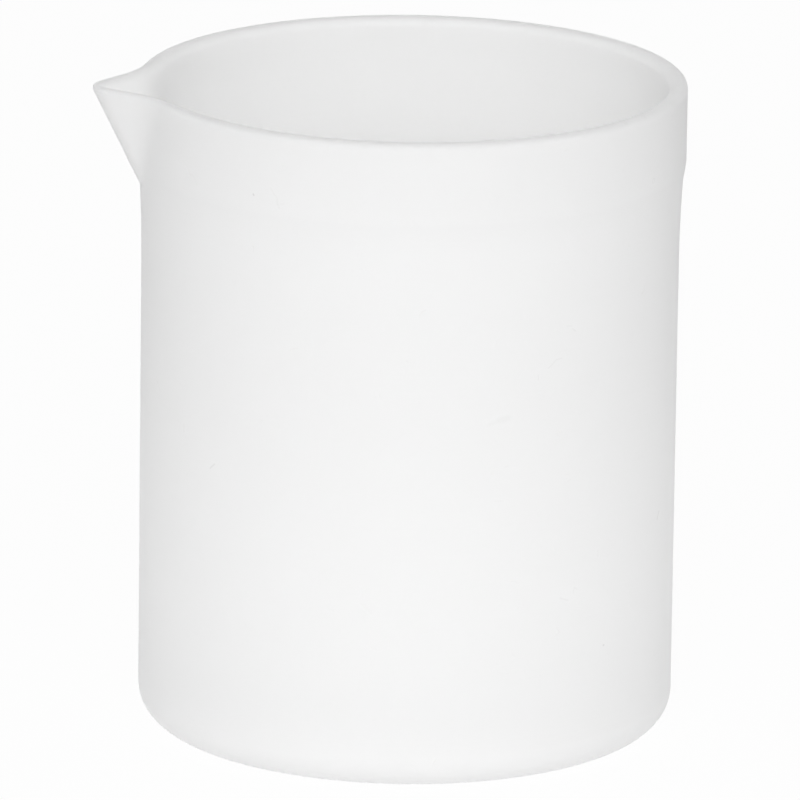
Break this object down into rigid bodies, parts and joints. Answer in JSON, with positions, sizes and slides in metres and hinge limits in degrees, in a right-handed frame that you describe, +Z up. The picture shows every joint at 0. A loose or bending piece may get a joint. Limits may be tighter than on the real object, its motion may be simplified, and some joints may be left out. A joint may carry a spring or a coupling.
{
  "type": "laboratory beaker",
  "caption": "Straight-walled white fluoropolymer beaker with a thick rim band, an eased lip, a drawn V-shaped pouring beak and a rounded base edge.",
  "frame": {"origin": "centre of the flat underside, on the vessel's axis", "axes": "+Z up along the vessel's axis towards the mouth, -X towards the tip of the pouring beak"},
  "size_m": [0.0803, 0.074, 0.0893],
  "materials": {
    "fluoropolymer": "satin"
  },
  "bodies": {
    "root": {"beaker_body": "fluoropolymer"}
  },
  "joints": []
}
